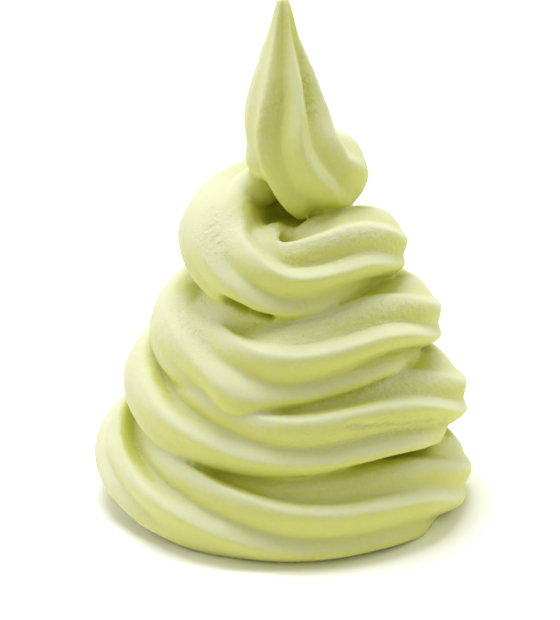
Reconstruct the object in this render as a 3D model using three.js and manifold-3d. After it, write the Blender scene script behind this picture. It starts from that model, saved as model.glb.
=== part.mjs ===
// Frozen yogurt swirl: a pistachio-green soft-serve swirl that stands on its own flattened foot.
//
// It is one rope of frozen yogurt, squeezed through a star nozzle with six teeth, so the rope has six ridges.
// The rope is laid in a left-handed spiral of four coils that narrow upwards, and its end is pulled up to a
// leaning peak. Here the rope is swept in short stretches along one guide line. The stretches are joined to
// each other and to a core that fills the inside, and what lies below the resting face is cut away.
//
// Millimetres, +Z up. The origin is the middle of the foot, on the resting face. -Y is the front, and +X the
// right-hand side. Turns count the coils along the rope: a whole turn lies at the right-hand side, and the
// rope runs from there round the front to the left, which it reaches half a turn later.

import * as THREE from "three";
import { mergeVertices } from "three/addons/utils/BufferGeometryUtils.js";
import Module from "manifold-3d";

// ---- Driving dimensions -------------------------------------------------------------------------------

// The laid coils, with one value for each half turn from the foot up: left, right, left, right ...
const FIRST_TURN = -0.5; // the rope's beginning, tucked in under the first coil
const COIL_RADII = [36, 42, 43.5, 41, 36.5, 35, 30.5, 27, 23.7]; // from the axis to the rope's outer side
const COIL_HEIGHTS = [3, 5, 12, 23.5, 28.5, 41.5, 41, 58.5, 62.5]; // of the rope's middle
const COIL_HALF_WIDTHS = [11, 11.8, 11.8, 11.8, 11.8, 11.7, 11.2, 10.8, 10.4]; // across the rope
const COIL_FLATTENING = 0.88; // half height over half width, where the coils lie on each other
const ROUNDING_TURNS = 0.5; // past the last coil, in which the rope becomes round
const OUTWARD_TURNS = 0.25; // past the last coil, in which its section still points outwards

// Each coil rides up just after the right-hand side, then hangs low at the front. The upper ones hang most.
const RISE_HEIGHT = 2;
const RISE_PLACE = 0.1; // of a turn
const RISE_SPREAD = 0.08; // of a turn
const SAG_GROWTH = 0.5; // mm, times the square of the turns up the swirl
const SAG_PLACE = 0.3; // of a turn
const SAG_SPREAD = 0.12; // of a turn

// The end of the rope, pulled up to a peak. Each row is x, y, z and half width, an eighth of a turn apart.
const PEAK_ROWS = [
  [-9.1, 9.1, 65.5, 10.2],
  [0, 12, 69, 9.8],
  [6.5, 8, 74, 9.5],
  [8.5, 1.5, 75.5, 9.6],
  [5.5, -2.5, 77, 9.6],
  [2, -3, 83, 9.8],
  [0, -2, 90, 9.3],
  [-0.5, -1, 97.5, 7],
  [-0.7, 0, 106, 3.7],
  [-0.7, 0, 112, 2],
  [-0.7, 0, 114.5, 1.2],
];

// The star section: ridges with a steep upper flank and a broad lower one.
const RIDGES = 6;
const RIDGE_DEPTH = 0.2; // of the rope's half width
const LOWER_FLANK = 0.66; // the share of a ridge that its lower flank takes
const RIDGE_SHARPNESS = 0.93; // 0 is a round wave, and 1 has sharp edges
const FIRST_RIDGE = 4; // degrees outwards from the rope's top, at turn 0
const TWIST_PER_TURN = 240; // degrees that the ridges turn over the rope in one coil
const LEFT_TWIST = 26; // degrees that they run ahead of that on the left-hand side
const LEFT_TWIST_FOCUS = 4; // a higher power gathers that nearer to the left-hand side
const TWIST_END = 4.18; // turn from which the ridges run straight up the peak
const SMOOTH_TURN = 3.93; // where the ridges are pressed almost flat, behind the peak's foot
const SMOOTH_SPREAD = 0.13; // of a turn
const SMOOTH_SHARE = 0.95; // of their depth that is lost there

// The core that fills the inside: radius and height of its outline.
const CORE_OUTLINE = [
  [0, -2],
  [34, -2],
  [31, 14],
  [28, 28],
  [24, 42],
  [21.5, 50],
  [16.5, 57],
  [8, 64],
  [0, 67],
];

// Mesh steps.
const GUIDE_STEP = 1 / 8; // of a turn, between the guide line's points
const STEPS_PER_GUIDE_STEP = 5;
const GUIDE_STEPS_PER_STRETCH = 5;
const RIDGE_POINTS = [0, LOWER_FLANK / 2, LOWER_FLANK, (1 + LOWER_FLANK) / 2]; // crest, flank, valley, flank
const CORE_SIDES = 40;
const CUTTER_SIZE = 140;
const MERGE_DISTANCE = 1e-4;

const YOGURT_COLOUR = 0xd8dca0;
const YOGURT_ROUGHNESS = 0.55;

// ---- The guide line -----------------------------------------------------------------------------------

const FULL_TURN = 2 * Math.PI;
const LAID_TURNS = (COIL_RADII.length - 1) / 2;
const LAID_STEPS = Math.round(LAID_TURNS / GUIDE_STEP);
const LAST_LAID_TURN = FIRST_TURN + LAID_TURNS;

// A smooth curve through values that are evenly spaced, read at a share of its length.
function smoothThrough(values) {
  const curve = new THREE.SplineCurve(values.map((value, i) => new THREE.Vector2(i, value)));
  return (share) => curve.getPoint(share).y;
}

// A smooth hump, 1 at its middle.
function hump(distance, spread) {
  return Math.exp(-((distance / spread) ** 2));
}

// The rise and the sag that come back in each coil.
function waveAt(turn) {
  const place = turn - Math.floor(turn);
  const sag = SAG_GROWTH * Math.max(turn, 0) ** 2 * hump(place - SAG_PLACE, SAG_SPREAD);
  return RISE_HEIGHT * hump(place - RISE_PLACE, RISE_SPREAD) - sag;
}

// Rows of x, y, z and half width, for the coils and then the peak.
function guideRows() {
  const radius = smoothThrough(COIL_RADII);
  const height = smoothThrough(COIL_HEIGHTS);
  const halfWidth = smoothThrough(COIL_HALF_WIDTHS);
  const rows = [];
  for (let i = 0; i <= LAID_STEPS; i++) {
    const share = i / LAID_STEPS;
    const turn = FIRST_TURN + share * LAID_TURNS;
    const reach = radius(share) - halfWidth(share);
    const angle = -turn * FULL_TURN;
    const z = height(share) + waveAt(turn);
    rows.push([reach * Math.cos(angle), reach * Math.sin(angle), z, halfWidth(share)]);
  }
  return rows.concat(PEAK_ROWS);
}

// Degrees from the rope's top to its first ridge. The ridges turn back over the top as the rope is laid.
function ridgeAngle(turn) {
  const twisted = Math.min(turn, TWIST_END);
  const leftSide = Math.sin(Math.PI * twisted) ** LEFT_TWIST_FOCUS;
  return FIRST_RIDGE - TWIST_PER_TURN * twisted - LEFT_TWIST * leftSide;
}

// Stations along the rope: its middle, the directions across and up, its half sizes and its ridges.
function ropeStations() {
  const rows = guideRows();
  const line = new THREE.CatmullRomCurve3(
    rows.map(([x, y, z]) => new THREE.Vector3(x, y, z)),
    false,
    "catmullrom",
  );
  const halfWidth = smoothThrough(rows.map((row) => row[3]));
  const steps = (rows.length - 1) * STEPS_PER_GUIDE_STEP;
  const across = new THREE.Vector3();
  const stations = [];
  for (let i = 0; i <= steps; i++) {
    const share = i / steps;
    const turn = FIRST_TURN + (i / STEPS_PER_GUIDE_STEP) * GUIDE_STEP;
    const angle = -turn * FULL_TURN;
    const along = line.getTangent(share);
    if (turn <= LAST_LAID_TURN + OUTWARD_TURNS) across.set(Math.cos(angle), Math.sin(angle), 0);
    across.addScaledVector(along, -across.dot(along)).normalize();
    const rounding = THREE.MathUtils.smoothstep(turn, LAST_LAID_TURN, LAST_LAID_TURN + ROUNDING_TURNS);
    stations.push({
      middle: line.getPoint(share),
      across: across.clone(),
      up: along.clone().cross(across),
      halfWidth: halfWidth(share),
      halfHeight: halfWidth(share) * THREE.MathUtils.lerp(COIL_FLATTENING, 1, rounding),
      ridges: THREE.MathUtils.degToRad(ridgeAngle(turn)),
      ridgeDepth: RIDGE_DEPTH * (1 - SMOOTH_SHARE * hump(turn - SMOOTH_TURN, SMOOTH_SPREAD)),
    });
  }
  return stations;
}

// ---- The rope's surface -------------------------------------------------------------------------------

// 1 on a ridge's crest and 0 in the valley, at a place from 0 to 1 across one ridge, crest to crest.
function ridgeHeight(place) {
  const lower = place < LOWER_FLANK;
  const phase = lower ? place / LOWER_FLANK : (1 - place) / (1 - LOWER_FLANK);
  const wave = Math.asin(RIDGE_SHARPNESS * Math.cos(Math.PI * phase)) / Math.asin(RIDGE_SHARPNESS);
  return (1 + wave) / 2;
}

function ropePoint(station, sideIndex) {
  const ridge = Math.floor(sideIndex / RIDGE_POINTS.length);
  const place = RIDGE_POINTS[sideIndex % RIDGE_POINTS.length];
  const angle = station.ridges + ((ridge + place) / RIDGES) * FULL_TURN;
  const reach = 1 - station.ridgeDepth * (1 - ridgeHeight(place));
  return station.middle
    .clone()
    .addScaledVector(station.across, station.halfWidth * reach * Math.sin(angle))
    .addScaledVector(station.up, station.halfHeight * reach * Math.cos(angle));
}

// A closed stretch of rope between two stations: a cylinder whose rings are laid on the stations.
function ropeStretch(stations) {
  const sides = RIDGES * RIDGE_POINTS.length;
  const steps = stations.length - 1;
  const geometry = new THREE.CylinderGeometry(1, 1, 1, sides, steps, false);
  const position = geometry.getAttribute("position");
  const vertex = new THREE.Vector3();
  for (let i = 0; i < position.count; i++) {
    vertex.fromBufferAttribute(position, i);
    const station = stations[Math.round((0.5 - vertex.y) * steps)];
    const onAxis = vertex.x === 0 && vertex.z === 0;
    const angle = (Math.atan2(vertex.x, vertex.z) + FULL_TURN) % FULL_TURN;
    const side = Math.round((angle / FULL_TURN) * sides) % sides;
    vertex.copy(onAxis ? station.middle : ropePoint(station, side));
    position.setXYZ(i, vertex.x, vertex.y, vertex.z);
  }
  return geometry;
}

// ---- Joining and cutting ------------------------------------------------------------------------------

const wasm = await Module();
wasm.setup();

function solidOf(geometry) {
  geometry.deleteAttribute("normal");
  geometry.deleteAttribute("uv");
  const merged = mergeVertices(geometry, MERGE_DISTANCE);
  return new wasm.Manifold(
    new wasm.Mesh({
      numProp: 3,
      vertProperties: new Float32Array(merged.getAttribute("position").array),
      triVerts: new Uint32Array(merged.index.array),
    }),
  );
}

function geometryOf(solid) {
  const mesh = solid.getMesh();
  const geometry = new THREE.BufferGeometry();
  geometry.setAttribute("position", new THREE.BufferAttribute(mesh.vertProperties, 3));
  geometry.setIndex(new THREE.BufferAttribute(mesh.triVerts, 1));
  return geometry;
}

function coreSolid() {
  const outline = CORE_OUTLINE.map(([radius, height]) => new THREE.Vector2(radius, height));
  const geometry = new THREE.LatheGeometry(outline, CORE_SIDES);
  geometry.rotateX(Math.PI / 2);
  return solidOf(geometry);
}

function belowFloorSolid() {
  const box = new THREE.BoxGeometry(CUTTER_SIZE, CUTTER_SIZE, CUTTER_SIZE);
  box.translate(0, 0, -CUTTER_SIZE / 2);
  return solidOf(box);
}

// The joined coils seal a few small pockets. The largest body alone leaves them filled.
function outerBody(solid) {
  return solid.decompose().reduce((best, body) => (body.volume() > best.volume() ? body : best));
}

function swirlGeometry() {
  const stations = ropeStations();
  const stretch = STEPS_PER_GUIDE_STEP * GUIDE_STEPS_PER_STRETCH;
  let swirl = coreSolid();
  for (let start = 0; start < stations.length - 1; start += stretch) {
    const end = Math.min(start + stretch, stations.length - 1);
    swirl = swirl.add(solidOf(ropeStretch(stations.slice(start, end + 1))));
  }
  return geometryOf(outerBody(swirl.subtract(belowFloorSolid())));
}

// ---- The swirl ----------------------------------------------------------------------------------------

const geometry = swirlGeometry();
geometry.computeBoundingBox();
const middle = geometry.boundingBox.getCenter(new THREE.Vector3());
geometry.translate(-middle.x, -middle.y, 0);
geometry.computeVertexNormals();

const yogurt = new THREE.MeshStandardMaterial({
  color: YOGURT_COLOUR,
  roughness: YOGURT_ROUGHNESS,
  metalness: 0,
});
const swirl = new THREE.Mesh(geometry, yogurt);
swirl.name = "frozen_yogurt_swirl";

const group = new THREE.Group();
group.add(swirl);

export default group;
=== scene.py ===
import math

import bpy
import numpy as np
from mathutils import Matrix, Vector, kdtree, noise
from mathutils.bvhtree import BVHTree


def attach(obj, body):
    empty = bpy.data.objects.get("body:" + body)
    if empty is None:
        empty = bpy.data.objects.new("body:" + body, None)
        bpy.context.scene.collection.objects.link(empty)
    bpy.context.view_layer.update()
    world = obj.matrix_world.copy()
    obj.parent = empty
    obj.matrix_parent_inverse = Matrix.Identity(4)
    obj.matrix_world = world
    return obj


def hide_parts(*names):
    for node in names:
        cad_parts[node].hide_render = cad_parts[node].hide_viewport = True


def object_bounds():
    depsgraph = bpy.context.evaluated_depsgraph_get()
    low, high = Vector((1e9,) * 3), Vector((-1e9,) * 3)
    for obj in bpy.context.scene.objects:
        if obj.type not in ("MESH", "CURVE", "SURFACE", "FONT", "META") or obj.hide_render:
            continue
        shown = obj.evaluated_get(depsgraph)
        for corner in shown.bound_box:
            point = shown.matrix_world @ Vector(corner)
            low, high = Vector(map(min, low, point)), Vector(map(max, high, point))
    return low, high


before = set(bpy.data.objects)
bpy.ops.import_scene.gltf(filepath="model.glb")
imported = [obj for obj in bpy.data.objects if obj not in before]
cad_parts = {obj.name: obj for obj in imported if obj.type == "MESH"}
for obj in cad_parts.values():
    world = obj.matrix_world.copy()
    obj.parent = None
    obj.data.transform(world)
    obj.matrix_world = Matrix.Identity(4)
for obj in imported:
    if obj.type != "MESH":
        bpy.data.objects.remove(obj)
solid_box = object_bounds()

# ---- The swirl ------------------------------------------------------------------------------------------
# Pale green frozen yogurt from a soft-serve machine, squeezed through a star nozzle with six teeth. The soft
# rope is laid round and round in a left-handed spiral, sinks a little into the coil below, and is pulled off
# to a leaning peak. Sizes are in millimetres until the mesh is finished.

MM = 0.001
FULL_TURN = 2 * math.pi

# The coils, with one value for each half turn from the foot up: left, right, left, right ...
FIRST_TURN = -0.5
COIL_RADII = [36, 42, 43.5, 41, 36.5, 35, 30.5, 27, 23.7]  # from the axis to the rope's outer side
COIL_HEIGHTS = [3, 5, 12, 23.5, 28.5, 41.5, 41, 58.5, 62.5]  # of the rope's middle
COIL_HALF_WIDTHS = [11, 11.8, 11.8, 11.8, 11.8, 11.7, 11.2, 10.8, 10.4]
COIL_FLATTENING = 0.88  # half height over half width
LAST_LAID_TURN = FIRST_TURN + (len(COIL_RADII) - 1) / 2
ROUNDING_TURNS = 0.5  # past the last coil, in which the rope becomes round
OUTWARD_TURNS = 0.25  # past the last coil, in which its section still points outwards
GUIDE_STEP = 1 / 8  # of a turn

# Each coil rides up just after the right-hand side, then hangs low at the front.
RISE_HEIGHT = 2
RISE_PLACE = 0.1  # of a turn
RISE_SPREAD = 0.08
SAG_GROWTH = 0.5  # times the square of the turns up the swirl
SAG_PLACE = 0.3
SAG_SPREAD = 0.12
LAST_SAG = 1.7  # more, under the last coil's front
LAST_SAG_TURN = 3.2
LAST_SAG_SPREAD = 0.15

# The pulled-up end: x, y, z and half width, an eighth of a turn apart.
PEAK_ROWS = [
    [-9.1, 9.1, 65.5, 10.2],
    [0, 12, 69, 9.8],
    [6.5, 8, 74, 9.5],
    [8.5, 1.5, 75.5, 9.6],
    [5.5, -2.5, 77, 10],
    [1.6, -3, 83, 10.2],
    [0, -2, 90, 9.3],
    [-0.5, -1, 97.5, 7],
    [-0.7, 0, 106, 3.7],
    [-0.7, 0, 112, 2],
    [-0.7, 0, 114.5, 1.2],
]

# The star section, and how its ridges run along the rope.
RIDGES = 6
RIDGE_DEPTH = 0.2  # of the rope's half width
SHALLOWEST = 0.05  # of that depth
LOWER_FLANK = 0.66  # the share of a ridge that its lower flank takes
RIDGE_SHARPNESS = 0.94  # 0 is a round wave, and 1 has sharp edges
FIRST_RIDGE = 4  # degrees outwards from the rope's top, at turn 0
TWIST_PER_TURN = 240
LEFT_TWIST = 26  # degrees that the ridges run ahead of that on the left-hand side
LEFT_TWIST_FOCUS = 4  # a higher power gathers that nearer to the left-hand side
TWIST_END = 4.12
LAST_TWIST = 0.08  # of a turn more, slowly up the peak
LAST_TWIST_TURNS = [4.15, 4.5]
RIDGE_ROLLS = [  # turn, spread and degrees that the ridges roll outwards
    [0, 0.08, 15],
    [0.12, 0.08, -20],
    [1.13, 0.1, -36],
    [2.12, 0.09, -23],
    [3.1, 0.07, -6],
    [2.38, 0.06, -12],
    [3, 0.08, 5],
    [3.45, 0.06, -8],
]

# On the right-hand side the outer ridges lie closer together, and their grooves are shallower.
RIGHT_CROWDING = 0.4
RIGHT_SPREAD = 0.07
RIGHT_SOFTENING = 0.5

# The rope's weight presses the grooves on its underside at the front.
LOW_SOFTENING = 0.85
LOW_PLACE = 0.33
LOW_SPREAD = 0.14
LOW_SIDE = [0.1, 0.75]  # from 0 at the rope's side to 1 at its bottom: where that begins, and is full

# Behind the peak's foot the ridges are pressed almost flat.
SMOOTH_SHARE = 0.95
SMOOTH_TURN = 3.93
SMOOTH_SPREAD = 0.13

# On the left-hand side each coil's ridges are worn low, as the nozzle turns back.
LEFT_SMOOTH_SHARE = 0.85
LEFT_SMOOTH_PLACE = 0.52
LEFT_SMOOTH_SPREAD = 0.16
LEFT_SMOOTH_TURNS = [0.4, 1.6]  # over which that sets in

# At the front the grooves are deepest.
FRONT_DEEPENING = 0.35
FRONT_PLACE = 0.2
FRONT_SPREAD = 0.2

# The pull stretches the peak's grooves deeper and its ridges even, but draws the one on its left flat.
PEAK_DEEPENING = 0.7
PEAK_FLANK = 0.5
PEAK_TURNS = [4.1, 4.4]
PEAK_FACE_SHARE = 0.8
PEAK_FACE_RIDGE = 2.6
PEAK_FACE_SPREAD = 0.45
PEAK_FACE_TURNS = [4.15, 4.35]

GROOVE_SPREAD = 0.5  # of a ridge
TORN_GROOVES = [  # turn, spread, ridge, and how much deeper the stretched rope is there, or shallower
    [1.41, 0.13, 0.66, 0.4],
    [2.4, 0.08, 3.66, 0.6],
    [2.1, 0.07, 4.66, 0.9],
    [4.42, 0.12, 0.66, 0.5],
    [1.1, 0.07, 0.66, 0.5],
    [3.08, 0.1, 0.66, -0.4],
    [2.24, 0.07, 3.66, -0.65],
    [2.11, 0.1, 2.66, -0.5],
    [1.11, 0.1, 4.66, -0.5],
    [0.11, 0.1, 0.66, -0.5],
]
BULGES = [  # turn, spread, ridge, spread, and share of the half width by which the rope swells
    [3.34, 0.08, 1, 0.6, 0.34],
    [0.46, 0.08, 2.95, 0.5, -0.2],
    [4.1, 0.06, 2, 0.35, 0.12],
    [2.3, 0.04, 5.4, 0.5, 0.34],
    [1.3, 0.05, 0, 0.4, -0.12],
    [1.4, 0.12, 0.66, 0.4, -0.24],
    [1.43, 0.08, 0, 0.5, -0.1],
    [0.43, 0.12, 2.66, 0.4, -0.2],
    [2.4, 0.06, 3.6, 0.4, -0.26],
]

STATIONS = 950  # along the rope
SIDES = 120  # round it


def through(values, share):
    """A smooth curve through evenly spaced values, read at shares of its length."""
    values = np.asarray(values, float)
    padded = np.concatenate([values[:1], values, values[-1:]])
    place = np.asarray(share, float) * (len(values) - 1)
    i = np.minimum(place.astype(int), len(values) - 2)
    w = place - i
    if values.ndim > 1:
        w = w[:, None]
    before, start, end, after = padded[i], padded[i + 1], padded[i + 2], padded[i + 3]
    out, into = (end - before) / 2, (after - start) / 2
    cubic = 2 * start - 2 * end + out + into
    square = 3 * end - 3 * start - 2 * out - into
    return cubic * w**3 + square * w**2 + out * w + start


def hump(distance, spread):
    """1 at no distance, and falling smoothly to almost nothing at twice the spread."""
    return np.exp(-((distance / spread) ** 2))


def ease(low, high, value):
    """0 up to low, 1 from high on, and a smooth step between them."""
    t = np.clip((value - low) / (high - low), 0, 1)
    return t * t * (3 - 2 * t)


def at_right(turn):
    """1 on each coil's right-hand side, and 0 away from it."""
    return hump((turn + 0.5) % 1 - 0.5, RIGHT_SPREAD)


def ridges_between(ridge, other):
    """How many ridges lie between two places round the rope, the shorter way."""
    return (ridge - other + RIDGES / 2) % RIDGES - RIDGES / 2


def guide_rows():
    """The rope's middle line and half width: x, y, z and half width for each step."""
    steps = round((LAST_LAID_TURN - FIRST_TURN) / GUIDE_STEP)
    share = np.linspace(0, 1, steps + 1)
    turn = FIRST_TURN + share * (LAST_LAID_TURN - FIRST_TURN)
    half_width = through(COIL_HALF_WIDTHS, share)
    reach = through(COIL_RADII, share) - half_width
    place = turn - np.floor(turn)
    sag = SAG_GROWTH * np.maximum(turn, 0) ** 2 * hump(place - SAG_PLACE, SAG_SPREAD)
    height = through(COIL_HEIGHTS, share) + RISE_HEIGHT * hump(place - RISE_PLACE, RISE_SPREAD) - sag
    height -= LAST_SAG * hump(turn - LAST_SAG_TURN, LAST_SAG_SPREAD)
    angle = -turn * FULL_TURN
    laid = np.stack([reach * np.cos(angle), reach * np.sin(angle), height, half_width], 1)
    return np.concatenate([laid, PEAK_ROWS])


def unit(vectors):
    return vectors / np.linalg.norm(vectors, axis=-1, keepdims=True)


def section_directions(turn, along):
    """The directions across the rope: outwards in the coils, and carried on from there up the peak."""
    across = np.zeros_like(along)
    last = np.zeros(3)
    for i, t in enumerate(turn):
        if t <= LAST_LAID_TURN + OUTWARD_TURNS:
            last = np.array([math.cos(-t * FULL_TURN), math.sin(-t * FULL_TURN), 0])
        last = unit(last - (last @ along[i]) * along[i])
        across[i] = last
    return across, np.cross(along, across)


def ridge_height(place, flank):
    """1 on a ridge's crest and 0 in the valley, at a place from 0 to 1 across one ridge, crest to crest."""
    phase = np.where(place < flank, place / flank, (1 - place) / (1 - flank))
    wave = np.arcsin(RIDGE_SHARPNESS * np.cos(np.pi * phase)) / math.asin(RIDGE_SHARPNESS)
    return (1 + wave) / 2


def ridge_depth(turn, ridge, angle):
    """The depth of the groove beside a ridge, as a share of the rope's half width."""
    in_coils = turn < LAST_LAID_TURN + OUTWARD_TURNS
    low = LOW_SOFTENING * ease(*LOW_SIDE, -np.cos(angle)) * hump(turn % 1 - LOW_PLACE, LOW_SPREAD)
    low = in_coils * (1 - (1 - low) * (1 - RIGHT_SOFTENING * at_right(turn)))
    worn = LEFT_SMOOTH_SHARE * hump(turn % 1 - LEFT_SMOOTH_PLACE, LEFT_SMOOTH_SPREAD)
    worn = in_coils * worn * ease(*LEFT_SMOOTH_TURNS, turn)
    pressed = SMOOTH_SHARE * hump(turn - SMOOTH_TURN, SMOOTH_SPREAD)
    flat = PEAK_FACE_SHARE * ease(*PEAK_FACE_TURNS, turn) * hump(ridge - PEAK_FACE_RIDGE, PEAK_FACE_SPREAD)
    pulled = PEAK_DEEPENING * ease(*PEAK_TURNS, turn)
    front = FRONT_DEEPENING * hump(turn % 1 - FRONT_PLACE, FRONT_SPREAD) * (turn < LAST_LAID_TURN)
    torn = sum(
        more * hump(turn - at, spread) * hump(ridge - groove, GROOVE_SPREAD)
        for at, spread, groove, more in TORN_GROOVES
    )
    depth = np.maximum((1 - low) * (1 + pulled + front) + torn, SHALLOWEST)
    return RIDGE_DEPTH * (1 - worn) * (1 - pressed) * (1 - flat) * depth


def rope_surface():
    """Points on the rope, ring by ring, and the turn and the ridge that each lies at."""
    rows = guide_rows()
    share = np.linspace(0, 1, STATIONS)
    turn = FIRST_TURN + share * (len(rows) - 1) * GUIDE_STEP
    middle = through(rows[:, :3], share)
    along = unit(np.gradient(middle, axis=0))
    across, up = section_directions(turn, along)
    half_width = through(rows[:, 3], share)
    rounding = ease(LAST_LAID_TURN, LAST_LAID_TURN + ROUNDING_TURNS, turn)
    half_height = half_width * (COIL_FLATTENING + (1 - COIL_FLATTENING) * rounding)

    twisted = np.minimum(turn, TWIST_END)
    left_side = np.sin(np.pi * twisted) ** LEFT_TWIST_FOCUS
    twisted += LAST_TWIST * ease(*LAST_TWIST_TURNS, turn)
    rolled = sum(degrees * hump(turn - at, spread) for at, spread, degrees in RIDGE_ROLLS)
    first = np.radians(FIRST_RIDGE - TWIST_PER_TURN * twisted - LEFT_TWIST * left_side + rolled)
    ridge = np.arange(SIDES) / SIDES * RIDGES
    angle = first[:, None] + ridge / RIDGES * FULL_TURN
    crowding = RIGHT_CROWDING * at_right(turn) * (turn < LAST_LAID_TURN)
    angle -= crowding[:, None] * np.sin(angle - math.pi / 2)

    depth = ridge_depth(turn[:, None], ridge[None], angle)
    flank = LOWER_FLANK + (PEAK_FLANK - LOWER_FLANK) * ease(*PEAK_TURNS, turn)
    reach = 1 - depth * (1 - ridge_height(ridge % 1, flank[:, None]))
    for at, spread, crest, width, more in BULGES:
        reach += more * np.outer(hump(turn - at, spread), hump(ridges_between(ridge, crest), width))
    points = middle[:, None] + (half_width[:, None] * reach * np.sin(angle))[..., None] * across[:, None]
    points += (half_height[:, None] * reach * np.cos(angle))[..., None] * up[:, None]
    return points, np.broadcast_to(turn[:, None], angle.shape), np.broadcast_to(ridge, angle.shape)


# The inside, which is solid: radius and height of its outline.
CORE_OUTLINE = [[34, 0], [31, 14], [28, 28], [24, 42], [21.5, 50], [17, 57], [9.5, 65]]
CORE_SIDES = 90


def core_surface():
    outline = np.array(CORE_OUTLINE, float)
    angle = np.arange(CORE_SIDES) / CORE_SIDES * FULL_TURN
    ring = np.stack([np.cos(angle), np.sin(angle)], 1)
    flat = outline[:, None, :1] * ring
    return np.concatenate([flat, np.broadcast_to(outline[:, None, 1:], flat.shape[:2] + (1,))], 2)


LOBES = [  # centre and radii of the places where the rope ran together
    [[-5.5, 2.5, 72.5], [5, 5, 5.2]],
    [[-5.4, -3.2, 79.8], [3.9, 5.4, 4.8]],
    [[0.3, -8.9, 63.4], [3.2, 3.2, 3]],
]
LOBE_RINGS = 24
LOBE_SIDES = 40


def lobe(centre, radii):
    """An egg-shaped lump of yogurt, pressed into the place where two turns meet."""
    polar = (np.arange(LOBE_RINGS) + 0.5) / LOBE_RINGS * math.pi
    angle = np.arange(LOBE_SIDES) / LOBE_SIDES * FULL_TURN
    ring = np.stack([np.cos(angle), np.sin(angle), np.zeros(LOBE_SIDES)], 1)
    points = np.sin(polar)[:, None, None] * ring - np.cos(polar)[:, None, None] * np.array([0, 0, 1])
    return np.array(centre) + np.array(radii) * points


def tube_faces(rings, sides):
    """The faces of a closed tube whose points are rings of sides, with a cap on each end."""
    corner = np.arange(rings * sides).reshape(rings, sides)
    after = np.roll(corner, -1, 1)
    quads = np.stack([corner[:-1], after[:-1], after[1:], corner[1:]], -1).reshape(-1, 4)
    return quads.tolist() + [corner[0][::-1].tolist(), corner[-1].tolist()]


def made(name, tubes):
    """A mesh object from closed tubes that pass through one another."""
    points, faces, start = [], [], 0
    for tube in tubes:
        faces += [[start + corner for corner in face] for face in tube_faces(*tube.shape[:2])]
        points.append(tube.reshape(-1, 3))
        start += len(points[-1])
    mesh = bpy.data.meshes.new(name)
    mesh.from_pydata((np.concatenate(points) * MM).tolist(), [], faces)
    piece = bpy.data.objects.new(name, mesh)
    bpy.context.scene.collection.objects.link(piece)
    return piece


def apply_modifier(piece, kind, **settings):
    modifier = piece.modifiers.new(kind, kind)
    for key, value in settings.items():
        setattr(modifier, key, value)
    depsgraph = bpy.context.evaluated_depsgraph_get()
    finished = bpy.data.meshes.new_from_object(piece.evaluated_get(depsgraph))
    piece.modifiers.clear()
    piece.data = finished


def keep_largest_part(piece):
    """Drops the small pockets that the coils seal between them."""
    name = piece.name
    bpy.ops.object.select_all(action="DESELECT")
    piece.select_set(True)
    bpy.context.view_layer.objects.active = piece
    bpy.ops.object.mode_set(mode="EDIT")
    bpy.ops.mesh.select_all(action="SELECT")
    bpy.ops.mesh.separate(type="LOOSE")
    bpy.ops.object.mode_set(mode="OBJECT")
    parts = sorted(bpy.context.selected_objects, key=lambda part: len(part.data.vertices))
    for scrap in parts[:-1]:
        bpy.data.objects.remove(scrap)
    parts[-1].name = name
    return parts[-1]


def read_vectors(items, name):
    values = np.empty(len(items) * 3, np.float32)
    items.foreach_get(name, values)
    return values.reshape(-1, 3).astype(float)


# The rope, the inside and the lobes become one skin, rubbed smooth a little.
VOXEL = 0.42
RUB = 0.5  # the share of the way to its neighbours that one pass moves a point
FIRST_RUBS = 3
rope, rope_turn, rope_ridge = rope_surface()
rope_on_floor = rope.copy()
rope_on_floor[..., 2] = np.maximum(rope[..., 2], 0)
yogurt = made("frozen_yogurt", [rope_on_floor, core_surface()] + [lobe(*place) for place in LOBES])
apply_modifier(yogurt, "REMESH", mode="VOXEL", voxel_size=VOXEL * MM)
yogurt = keep_largest_part(yogurt)
apply_modifier(yogurt, "SMOOTH", factor=RUB, iterations=FIRST_RUBS)

RUBBED_PLACES = [  # place, reach and passes, where the soft rope ran together
    [[-9.3, -1.5, 76.5], 5, 500],
    [[-7, 4, 77], 4, 120],
    [[-0.5, -10, 65.5], 3, 60],
    [[12.5, 1, 79], 6, 120],
]
LEAST_RUB = 0.02  # a point that is rubbed less than this stays in place


def rub(piece, place, reach, passes):
    """Rubs the surface smooth round a place."""
    near = hump(np.linalg.norm(read_vectors(piece.data.vertices, "co") / MM - place, axis=1), reach)
    group = piece.vertex_groups.new(name="rubbed")
    for i in np.nonzero(near > LEAST_RUB)[0]:
        group.add([int(i)], float(near[i]), "REPLACE")
    apply_modifier(piece, "SMOOTH", factor=RUB, iterations=passes, vertex_group=group.name)
    piece.vertex_groups.clear()


for rubbed_place in RUBBED_PLACES:
    rub(yogurt, *rubbed_place)

# Where each point of the surface lies on the rope, found from every second point of the rope.
samples = rope.reshape(-1, 3)[::2]
sample_turn = rope_turn.reshape(-1)[::2]
sample_ridge = rope_ridge.reshape(-1)[::2]
sample_tree = kdtree.KDTree(len(samples))
for i, sample in enumerate(samples):
    sample_tree.insert(sample, i)
sample_tree.balance()


def rope_places(points):
    nearest = np.array([sample_tree.find(point)[1] for point in points])
    return sample_turn[nearest], sample_ridge[nearest]


NOISE_STEP = [17.3, 5.1, 9.7]  # how far apart the noise of one seed and of the next are read


def noise_at(points, size, seed):
    """Soft noise from -1 to 1, with humps of about that size."""
    shift = Vector([seed * step for step in NOISE_STEP])
    return np.array([noise.noise(Vector(point) / size + shift) for point in points])


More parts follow.
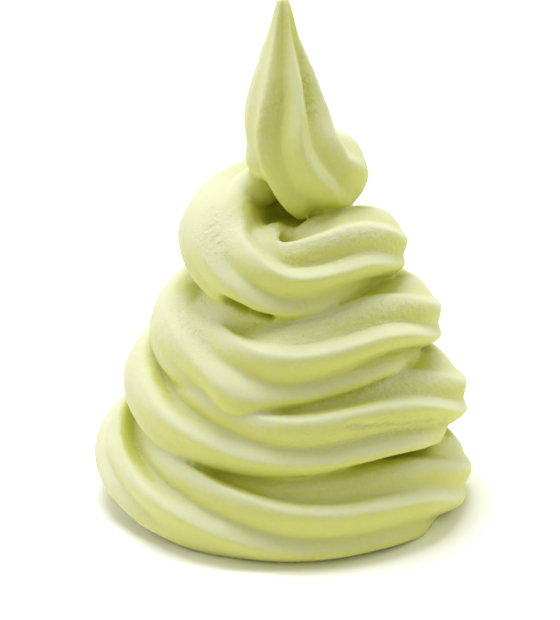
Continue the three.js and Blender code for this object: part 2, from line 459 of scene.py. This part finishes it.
ICY_PATCHES = [  # turn, ridge, and the spread of each, where the shear left icy, crumbly grain
    [3.1, 1.4, 0.16, 0.3],
    [2.15, 3.4, 0.2, 0.3],
    [1.12, 5.4, 0.2, 0.3],
    [1.1, 0.5, 0.15, 0.3],
    [4.45, 0.45, 0.16, 0.35],
    [4.4, 1.75, 0.12, 0.3],
    [3.42, 2.6, 0.07, 0.5],
    [2.42, 4.5, 0.08, 0.6],
]
ICY_EDGE = [0.15, 0.75]  # of a patch's strength, over which the ice sets in
ICY_RAGGEDNESS = 0.25
ICY_RAG_SIZE = 5


def icy_share(points, turn, ridge):
    """How icy the surface is, from 0 to 1."""
    ragged = ICY_RAGGEDNESS * noise_at(points, ICY_RAG_SIZE, seed=1)
    patches = [
        hump(turn - at, long) * hump(ridges_between(ridge, patch_ridge), wide)
        for at, patch_ridge, long, wide in ICY_PATCHES
    ]
    return ease(*ICY_EDGE, np.max(patches, axis=0) + ragged)


# Low relief: height, size and seed of its waves.
WAVES = [[0.22, 7, 2], [0.07, 1.7, 3]]
ICY_GRAINS = [[0.13, 0.9, 4], [0.1, 0.5, 5]]
SMOOTH_FOOT = 2  # below which the waves fade out
FLAT_FOOT = 0.25  # below which the yogurt lies flat on the table


def relief(points, waves):
    return sum(height * noise_at(points, size, seed) for height, size, seed in waves)


DENTS = [  # two ends, reach, depth and raggedness of the places where the coils don't quite meet or are torn
    [[-13, -18.3, 52.2], [-9, -20.3, 51.4], 1.2, 4, 0.1],
    [[-7.5, -20.4, 51.5], [-3.4, -22, 50.6], 0.9, 6, 0.1],
    [[-21.5, -3, 50.8], [-20, -7, 51.2], 2.2, 3, 0.2],
    [[13.6, -34.8, 30.4], [22.2, -30.4, 28.9], 0.9, 0.75, 0.45],
    [[22.2, -30.4, 28.9], [31.2, -22, 26], 0.9, 0.9, 0.45],
]
RAG_SIZE = 1.3
RAG_STRETCH = [1, 1, 0.3]  # the rags are longer upwards


def dented(points, first, last, reach, depth, raggedness):
    """Pushes the surface in towards the axis, along a line between two points."""
    along = np.subtract(last, first)
    share = np.clip((points - first) @ along / (along @ along), 0, 1)
    gap = points - first - share[:, None] * along
    near = np.nonzero(np.linalg.norm(gap, axis=1) < 3 * reach + 1)[0]  # past that the push is nothing
    ragged = raggedness * reach * noise_at(points[near] * RAG_STRETCH, RAG_SIZE, seed=6)
    push = depth * hump(np.linalg.norm(gap[near] + [0, 0, 1] * ragged[:, None], axis=1), reach)
    points = points.copy()
    points[near] -= unit(points[near] * [1, 1, 0]) * push[:, None]
    return points


points = read_vectors(yogurt.data.vertices, "co") / MM
normals = read_vectors(yogurt.data.vertex_normals, "vector")
icy_at_points = icy_share(points, *rope_places(points))
raised = relief(points, WAVES) + icy_at_points * relief(points, ICY_GRAINS)
points += normals * (raised * ease(0, SMOOTH_FOOT, points[:, 2]))[:, None]
for dent in DENTS:
    points = dented(points, *dent)
points[:, 2] = np.where(points[:, 2] < FLAT_FOOT, 0, points[:, 2])

# The finished skin is centred on the solid, and thinned.
MOST_TRIANGLES = 190000
skin_middle = (points.max(0) + points.min(0)) / 2
solid_middle = (solid_box[0] + solid_box[1]) / 2
axis = Vector((solid_middle.x / MM - skin_middle[0], solid_middle.y / MM - skin_middle[1], 0))
points += np.array(axis)
yogurt.data.vertices.foreach_set("co", (points * MM).astype(np.float32).ravel())
yogurt.data.update()
triangles = sum(len(face.vertices) - 2 for face in yogurt.data.polygons)
if triangles > MOST_TRIANGLES:
    apply_modifier(yogurt, "DECIMATE", ratio=MOST_TRIANGLES / triangles)
for face in yogurt.data.polygons:
    face.use_smooth = True

OPEN_RAYS = 16
OPEN_REACH = 14
OPEN_START = 0.2  # off the surface
GOLDEN_ANGLE = math.pi * (3 - math.sqrt(5))  # between one ray and the next, which spreads them evenly


def openness(piece):
    """For every point, the share of the space outside it that no other yogurt fills."""
    spots = read_vectors(piece.data.vertices, "co")
    outwards = read_vectors(piece.data.vertex_normals, "vector")
    skin = BVHTree.FromPolygons(spots.tolist(), [list(face.vertices) for face in piece.data.polygons])
    step = np.arange(OPEN_RAYS) + 0.5
    lift, spin = np.sqrt(1 - step / OPEN_RAYS), step * GOLDEN_ANGLE
    side = np.sqrt(1 - lift**2)
    fan = np.stack([side * np.cos(spin), side * np.sin(spin), lift], 1)
    free = np.zeros(len(spots))
    for i, (spot, outward) in enumerate(zip(spots, outwards)):
        turned = Vector((0, 0, 1)).rotation_difference(Vector(outward)).to_matrix()
        start = Vector(spot + outward * OPEN_START * MM)
        for ray in fan @ np.array(turned).T:
            free[i] += skin.ray_cast(start, ray, OPEN_REACH * MM)[0] is None
    return free / OPEN_RAYS


def keep_values(piece, name, values):
    """Stores one number for each point of the mesh, for the material to read."""
    layer = piece.data.attributes.new(name, "FLOAT", "POINT")
    layer.data.foreach_set("value", np.asarray(values, np.float32))


# The nozzle smears the coils pale on the left-hand side, and the pull smears the peak's left; that paleness
# is partly painted light on the sides that the left lamp lights.
SMEAR_SPREAD = 0.17
PEAK_SMEAR = 0.8
PEAK_SMEAR_TURNS = [4.05, 4.2]
PEAK_SMEAR_SPREAD = 0.55
CREST_PLACE = 0.03  # of a ridge, how far outwards the painted highlight along each crest lies
CREST_SPREAD = 0.24
points = read_vectors(yogurt.data.vertices, "co") / MM - np.array(axis)
turn, ridge = rope_places(points)
# This mask is partly a smear and partly painted light from the left lamp.
smear_and_left_light = hump(turn % 1 - LEFT_SMOOTH_PLACE, SMEAR_SPREAD) * (turn < LAST_LAID_TURN + OUTWARD_TURNS)
smear_and_left_light += PEAK_SMEAR * ease(*PEAK_SMEAR_TURNS, turn) * hump(ridge - PEAK_FACE_RIDGE, PEAK_SMEAR_SPREAD)
# How open each point is, which paints shade in gaps and creases and light where the surface is open.
keep_values(yogurt, "openness", openness(yogurt))
keep_values(yogurt, "icy", icy_share(points, turn, ridge))
keep_values(yogurt, "smear_and_left_light", smear_and_left_light)
# A band along each crest, where a highlight is painted.
keep_values(yogurt, "crest", hump((ridge + 0.5) % 1 - 0.5 - CREST_PLACE, CREST_SPREAD) * (1 - smear_and_left_light))


class Wire:
    """One output in a material, so that its sums are written as plain ones."""

    def __init__(self, tree, output=None):
        self.tree, self.output = tree, output

    def node(self, kind, settings, sockets, result=0):
        """Adds a node with its settings, fills its sockets, and gives one of its outputs."""
        added = self.tree.nodes.new(kind)
        for name, value in settings.items():
            setattr(added, name, value)
        for name, value in sockets.items():
            if isinstance(value, Wire):
                self.tree.links.new(value.output, added.inputs[name])
            else:
                added.inputs[name].default_value = value
        return Wire(self.tree, added.outputs[result])

    def sum(self, operation, first, second):
        return self.node("ShaderNodeMath", {"operation": operation}, {0: first, 1: second})

    def __add__(self, other):
        return self.sum("ADD", self, other)

    def __radd__(self, other):
        return self.sum("ADD", other, self)

    def __sub__(self, other):
        return self.sum("SUBTRACT", self, other)

    def __rsub__(self, other):
        return self.sum("SUBTRACT", other, self)

    def __mul__(self, other):
        return self.sum("MULTIPLY", self, other)

    def __rmul__(self, other):
        return self.sum("MULTIPLY", other, self)

    def eased(self, low, high):
        """0 up to low, 1 from high on, and a smooth step between them."""
        sockets = {"Value": self, "From Min": low, "From Max": high}
        return self.node("ShaderNodeMapRange", {"interpolation_type": "SMOOTHSTEP"}, sockets)

    def mixed(self, first, second):
        """The first colour where this is 0, and the second where it is 1."""
        return self.node("ShaderNodeMix", {"data_type": "RGBA"}, {0: self, 6: first, 7: second}, 2)

    def value(self, name):
        return self.node("ShaderNodeAttribute", {"attribute_name": name}, {}, "Fac")

    def grain(self, size, detail=2.0):
        """Soft noise from 0 to 1 with grains of that size."""
        spot = self.node("ShaderNodeTexCoord", {}, {}, "Object")
        sockets = {"Vector": spot, "Scale": 1 / (size * MM), "Detail": detail}
        return self.node("ShaderNodeTexNoise", {}, sockets, "Fac")

    def swing(self, size):
        """Soft noise from -0.5 to 0.5 with patches of that size."""
        return self.grain(size) - 0.5


# The yogurt's colour is painted paler where faces and crests face up, which is painted light from above, and
# on the smeared left side, partly a smear and partly painted light from the left lamp. It is painted deeper
# green in gaps and creases, which is painted shade. Sizes of its patches, specks and grains are in
# millimetres.
# PALE is the yogurt's paler tone, and also the colour of the painted light.
PALE = (0.66, 0.668, 0.45, 1)
GREEN = (0.62, 0.635, 0.19, 1)
# The colour of the painted shade in gaps and creases.
SHADE_GREEN = (0.495, 0.515, 0.06, 1)
# Strengths of the painted light: on faces that face up, on the smeared left side, on crests that face up, and
# where the surface is open.
TOP_PAINTED_LIGHT, SMEAR_AND_LEFT_LIGHT, CREST_PAINTED_HIGHLIGHT, OPEN_PAINTED_LIGHT = 0.56, 0.5, 0.45, 0.4
TOP_SLOPES = [-0.2, 0.95]  # how far the surface faces up, from where it is painted paler as lit from above to where that painted light is full
CREST_SLOPES = [-0.3, 0.6]
PAINTED_LIGHT_IN_GAPS = 0.4  # what is left of the painted light in the gaps, which paints shade there
GAP_SHADE_OPENNESS = [0.3, 0.85]  # from where that is all to where none is lost
SHADE_OPENNESS = [0.15, 0.9]  # from where the painted shade is deepest green to where none is painted
USUAL_OPENNESS = 0.8
PATCH_SIZE, PATCH_STRENGTH = 8, 0.35
SPECK_SIZE, SPECK_STRENGTH = 0.9, 0.5
ICY_SPECK_SIZE, ICY_SPECK_STRENGTH = 0.45, 0.8
SHEEN_SIZE, ROUGHNESS, SHEEN_CHANGE, ICY_ROUGHNESS = 3, 0.5, 0.15, 0.1
GRAIN_SIZE, GRAIN_DETAIL, SMOOTH_GRAIN = 0.45, 4, 0.25
CRUMB_SIZE, CRUMB_DETAIL, CRUMB_SHARE = 1.1, 3, 0.5
GRAIN_HEIGHT = 0.35
GRAIN_STRENGTH = 0.9

frozen = bpy.data.materials.new("pale_green_frozen_yogurt")
frozen.use_nodes = True
shader = frozen.node_tree.nodes["Principled BSDF"]
start = Wire(frozen.node_tree)
north = start.node("ShaderNodeNewGeometry", {}, {}, "Normal")
upward = start.node("ShaderNodeSeparateXYZ", {}, {0: north}, "Z")
open_share, icy = start.value("openness"), start.value("icy")

# Painted light: paler on faces that face up, as lit from above, and on the smeared left side, partly a smear
# and partly lit by the left lamp.
paleness_and_painted_light = TOP_PAINTED_LIGHT * upward.eased(*TOP_SLOPES) + SMEAR_AND_LEFT_LIGHT * start.value("smear_and_left_light")
paleness_and_painted_light = paleness_and_painted_light + PATCH_STRENGTH * start.swing(PATCH_SIZE)
# Painted highlight along the crests that face up.
paleness_and_painted_light = paleness_and_painted_light + CREST_PAINTED_HIGHLIGHT * start.value("crest") * upward.eased(*CREST_SLOPES)
paleness_and_painted_light = paleness_and_painted_light + ICY_SPECK_STRENGTH * icy * start.swing(ICY_SPECK_SIZE)
# Painted shade: less of the painted light in gaps and creases, and more where the surface is open.
paleness_and_painted_light = paleness_and_painted_light * (PAINTED_LIGHT_IN_GAPS + (1 - PAINTED_LIGHT_IN_GAPS) * open_share.eased(*GAP_SHADE_OPENNESS))
paleness_and_painted_light = paleness_and_painted_light + OPEN_PAINTED_LIGHT * (open_share - USUAL_OPENNESS)
paleness_and_painted_light = paleness_and_painted_light + SPECK_STRENGTH * start.swing(SPECK_SIZE)
colour = paleness_and_painted_light.eased(0, 1).mixed(GREEN, PALE)
# Painted shade: deep green in gaps and creases.
colour = (1 - open_share.eased(*SHADE_OPENNESS)).mixed(colour, SHADE_GREEN)
roughness = ROUGHNESS + SHEEN_CHANGE * start.grain(SHEEN_SIZE) + ICY_ROUGHNESS * icy
height = start.grain(GRAIN_SIZE, GRAIN_DETAIL) * (SMOOTH_GRAIN + (1 - SMOOTH_GRAIN) * icy)
height = height + CRUMB_SHARE * icy * start.grain(CRUMB_SIZE, CRUMB_DETAIL)
sockets = {"Strength": GRAIN_STRENGTH, "Distance": GRAIN_HEIGHT * MM, "Height": height}
bump = start.node("ShaderNodeBump", {}, sockets)
for name, wire in {"Base Color": colour, "Roughness": roughness, "Normal": bump}.items():
    frozen.node_tree.links.new(wire.output, shader.inputs[name])
shader.inputs["Subsurface Weight"].default_value = 1
shader.inputs["Subsurface Radius"].default_value = (1, 1, 0.4)
shader.inputs["Subsurface Scale"].default_value = 0.8 * MM
shader.inputs["Specular IOR Level"].default_value = 0.3
yogurt.data.materials.clear()
yogurt.data.materials.append(frozen)
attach(yogurt, "root")
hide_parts("frozen_yogurt_swirl")

# ---- The floor and the light ----------------------------------------------------------------------------
# A plain matt white studio table. A large soft lamp hangs above it, a weaker one stands on each side, and the
# pale room fills the shadows.

FLOOR_REACH = 3
floor_mesh = bpy.data.meshes.new("floor")
floor_corners = [(x * FLOOR_REACH, y * FLOOR_REACH, 0) for x, y in ((-1, -1), (1, -1), (1, 1), (-1, 1))]
floor_mesh.from_pydata(floor_corners, [], [(0, 1, 2, 3)])
floor = bpy.data.objects.new("floor", floor_mesh)
bpy.context.scene.collection.objects.link(floor)
white = bpy.data.materials.new("white_table")
white.use_nodes = True
white_shader = white.node_tree.nodes["Principled BSDF"]
white_shader.inputs["Base Color"].default_value = (0.95, 0.95, 0.95, 1)
white_shader.inputs["Roughness"].default_value = 0.8
floor_mesh.materials.append(white)

LAMPS = [  # name, place, watts and colour
    ["top_lamp", (-0.1, 0.15, 0.9), 7.6, (0.86, 0.86, 1)],
    ["left_lamp", (-0.9, 0.1, 0.45), 1.8, (0.78, 0.78, 1)],
    ["right_lamp", (0.9, 0.5, 0.45), 2.2, (0.9, 0.9, 1)],
]
LAMP_WIDTH = 0.5
LAMP_AIM = Vector((0, 0, 0.05))
ROOM_COLOUR = (1, 1, 0.72, 1)
ROOM_STRENGTH = 0.6
for name, place, watts, lamp_colour in LAMPS:
    light = bpy.data.lights.new(name, "AREA")
    light.energy = watts
    light.color = lamp_colour
    light.size = LAMP_WIDTH
    lamp = bpy.data.objects.new(name, light)
    lamp.location = place
    lamp.rotation_euler = (LAMP_AIM - Vector(place)).to_track_quat("-Z", "Y").to_euler()
    bpy.context.scene.collection.objects.link(lamp)
room = bpy.data.worlds.new("studio")
room.use_nodes = True
room.node_tree.nodes["Background"].inputs["Color"].default_value = ROOM_COLOUR
room.node_tree.nodes["Background"].inputs["Strength"].default_value = ROOM_STRENGTH
bpy.context.scene.world = room
bpy.context.scene.view_settings.view_transform = "Standard"

# ---- The camera -----------------------------------------------------------------------------------------
# A long lens from a little above, at the swirl's front. It aims past the swirl's middle, so that the swirl
# stands high in the picture and a little to the right.

ELEVATION = math.radians(19)
DISTANCE = 0.6
SENSOR = 36
PICTURE_HEIGHT = 620  # pixels
PIXEL = 0.2205 * MM  # what one pixel shows at the swirl's middle
MIDDLE_HEIGHT = 0.0551
AIM_LEFT, AIM_DOWN = 6, 48  # pixels
camera = bpy.data.objects.new("camera", bpy.data.cameras.new("camera"))
camera.data.sensor_width = SENSOR
camera.data.lens = SENSOR * DISTANCE / (PICTURE_HEIGHT * PIXEL)
camera.data.clip_start = 0.01
target = Vector((axis.x * MM, axis.y * MM, MIDDLE_HEIGHT))
picture_up = Vector((0, math.sin(ELEVATION), math.cos(ELEVATION)))
camera.location = target + DISTANCE * Vector((0, -math.cos(ELEVATION), math.sin(ELEVATION)))
aim = target - AIM_LEFT * PIXEL * Vector((1, 0, 0)) - AIM_DOWN * PIXEL * picture_up
camera.rotation_euler = (aim - camera.location).to_track_quat("-Z", "Y").to_euler()
bpy.context.scene.collection.objects.link(camera)
bpy.context.scene.camera = camera
